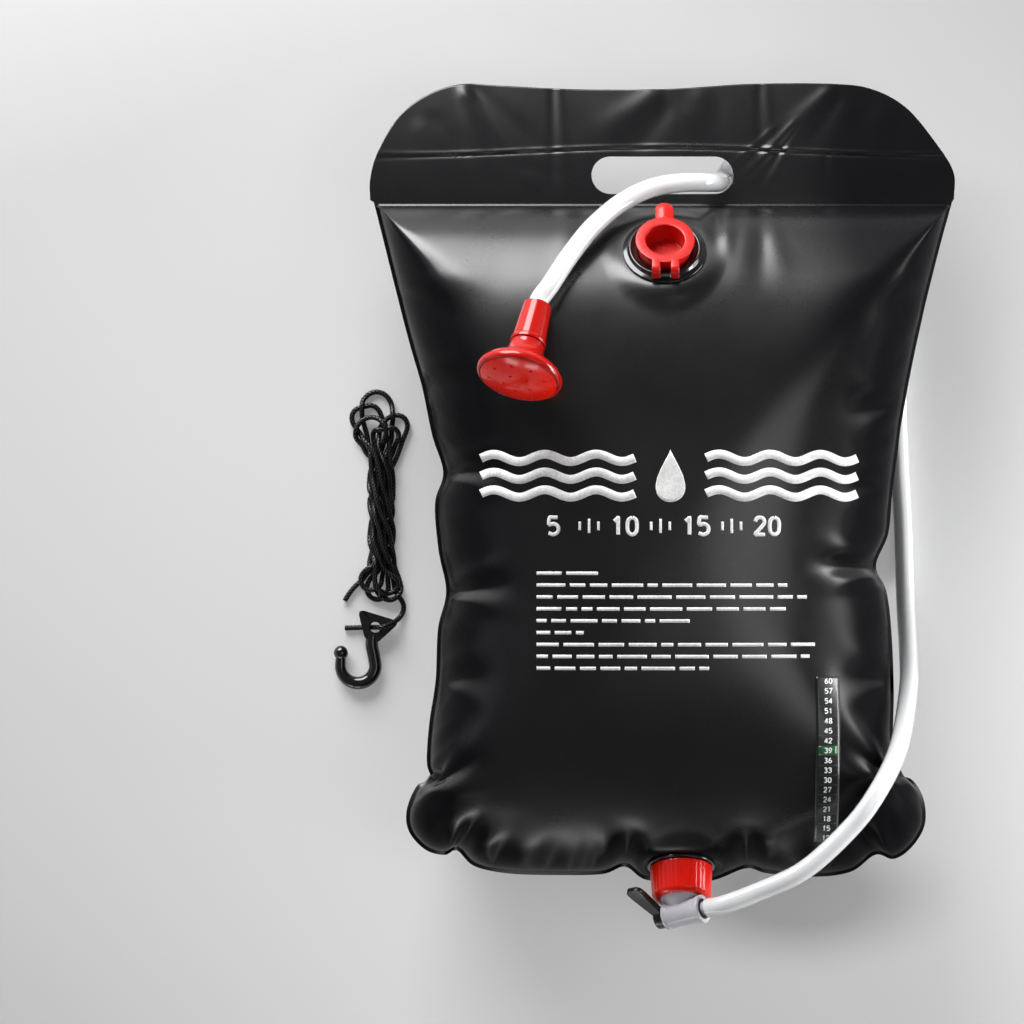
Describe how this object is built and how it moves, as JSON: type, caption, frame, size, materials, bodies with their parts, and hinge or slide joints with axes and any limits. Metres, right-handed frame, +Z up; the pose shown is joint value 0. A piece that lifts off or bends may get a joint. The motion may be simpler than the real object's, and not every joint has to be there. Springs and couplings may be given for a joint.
{
  "type": "camp shower bag",
  "caption": "Filled soft black camp shower bag with a handle slot, stopper, screw outlet, quarter-turn tap, clear hose, red spray rose, temperature strip, wound hanging cord and hook",
  "frame": {"origin": "on the ground under the middle of the pouch", "axes": "+X across the bag, +Y along it to the handle, +Z up out of its printed front, bag lying on its back"},
  "size_m": [0.4477, 0.6059, 0.2205],
  "materials": {
    "black_film": "soft black PVC film, semi-gloss",
    "black_plastic": "glossy black plastic",
    "red_plastic": "glossy red plastic",
    "dark_red_plastic": "soft red plastic",
    "white_plastic": "milky white plastic",
    "grey_plastic": "dark grey plastic",
    "clear_hose": "milky flexible tube",
    "black_cord": "braided cord",
    "black_rubber": "soft black rubber",
    "steel": "plain steel pin",
    "strip": "thin black printed film"
  },
  "bodies": {
    "bag": {"front_sheet": "black_film", "back_sheet": "black_film", "thermometer_strip": "strip", "filler_flange": "black_plastic", "filler_hinge_pin": "steel", "outlet_flange": "black_plastic", "outlet_gasket": "black_rubber", "tap_body": "white_plastic", "tap_seal": "black_rubber", "hose_tail": "white_plastic", "hose": "clear_hose", "rose_socket": "red_plastic", "rose_seal": "black_rubber", "hanging_cord": "black_cord"},
    "stopper": {"filler_stopper": "dark_red_plastic"},
    "nut": {"outlet_nut": "red_plastic"},
    "tap_key": {"tap_plug": "grey_plastic", "tap_lever": "grey_plastic"},
    "rose_head": {"rose_body": "red_plastic", "rose_face": "red_plastic"},
    "hook_body": {"hook": "black_plastic"}
  },
  "joints": [
    {"name": "stopper_swing", "type": "hinge", "parent": "bag", "child": "stopper", "pos_m": [0, 0.18417, 0.15491], "axis": [1, 0, 0], "range_deg": [0, 120]},
    {"name": "nut_turn", "type": "hinge", "parent": "bag", "child": "nut", "pos_m": [0.0126, -0.234, 0.104], "axis": [0, -0.9136, 0.4067], "range_deg": [0, 540]},
    {"name": "tap_turn", "type": "hinge", "parent": "bag", "child": "tap_key", "pos_m": [0.01513, -0.2666, 0.12028], "axis": [0.8434, 0.2185, 0.4908], "range_deg": [0, 90]},
    {"name": "rose_turn", "type": "hinge", "parent": "bag", "child": "rose_head", "pos_m": [-0.0901, 0.163, 0.1658], "axis": [-0.2211, -0.8548, 0.4695], "range_deg": [-180, 180]},
    {"name": "hook_swing", "type": "hinge", "parent": "bag", "child": "hook_body", "pos_m": [-0.208, -0.0663, 0.0048], "axis": [0, 0, 1], "range_deg": [-15, 15]}
  ]
}
